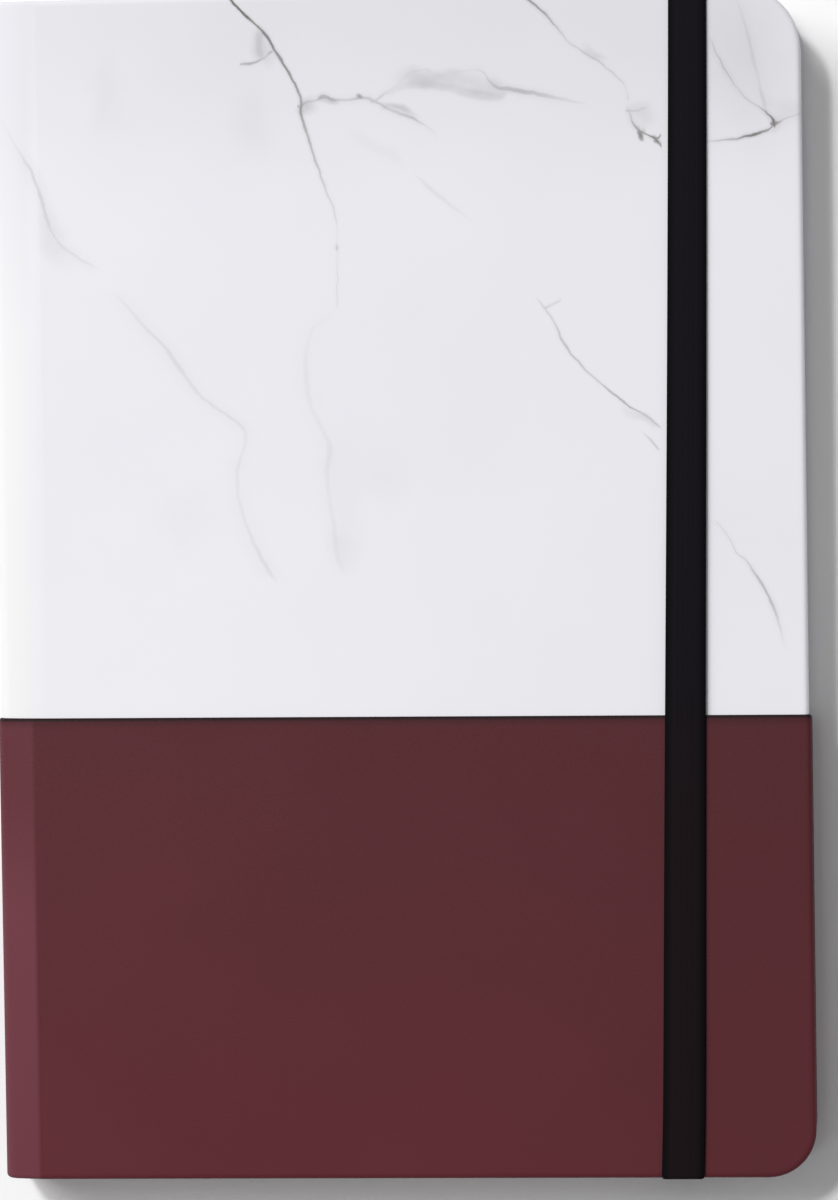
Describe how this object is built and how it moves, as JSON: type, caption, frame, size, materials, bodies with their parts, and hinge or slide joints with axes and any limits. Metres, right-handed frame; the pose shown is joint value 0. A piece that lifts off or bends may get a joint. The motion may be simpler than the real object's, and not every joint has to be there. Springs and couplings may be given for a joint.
{
  "type": "hardcover diary",
  "caption": "Closed A5 hardcover diary with a two-tone cover: white marbled upper part, burgundy lower part, rounded fore-edge corners and a flat black elastic closure.",
  "frame": {"origin": "on the surface that the closed diary lies on, under the middle of the cover", "axes": "+X from the spine to the fore-edge, +Y from the tail edge to the head edge, +Z from the back cover to the front cover"},
  "size_m": [0.145, 0.2116, 0.0186],
  "materials": {
    "marble_covering": "smooth matte coated sheet printed with grey marble veins",
    "burgundy_covering": "soft matte imitation leather",
    "board": "grey book board",
    "pages": "off-white uncoated paper",
    "endpaper": "plain uncoated endpaper",
    "lining": "thin open-weave cotton",
    "headband": "woven cotton with coloured stripes",
    "elastic": "flat ribbed woven elastic"
  },
  "bodies": {
    "block": {"pages": "pages", "front_endpaper": "endpaper", "back_endpaper": "endpaper", "spine_lining": "lining", "head_band": "headband", "tail_band": "headband", "spine_board": "board", "upper_covering_spine": "marble_covering", "lower_covering_spine": "burgundy_covering"},
    "front_cover": {"front_board": "board", "upper_covering_front": "marble_covering", "lower_covering_front": "burgundy_covering", "front_pastedown": "endpaper"},
    "back_cover": {"back_board": "board", "upper_covering_back": "marble_covering", "lower_covering_back": "burgundy_covering", "back_pastedown": "endpaper", "elastic_band": "elastic"}
  },
  "joints": [
    {"name": "front_cover_hinge", "type": "hinge", "parent": "block", "child": "front_cover", "pos_m": [-0.0659, 0, 0.0179], "axis": [0, -1, 0], "range_deg": [0, 178]},
    {"name": "back_cover_hinge", "type": "hinge", "parent": "block", "child": "back_cover", "pos_m": [-0.0659, 0, 0.0007], "axis": [0, 1, 0], "range_deg": [0, 178], "deforming": ["elastic_band"]}
  ]
}
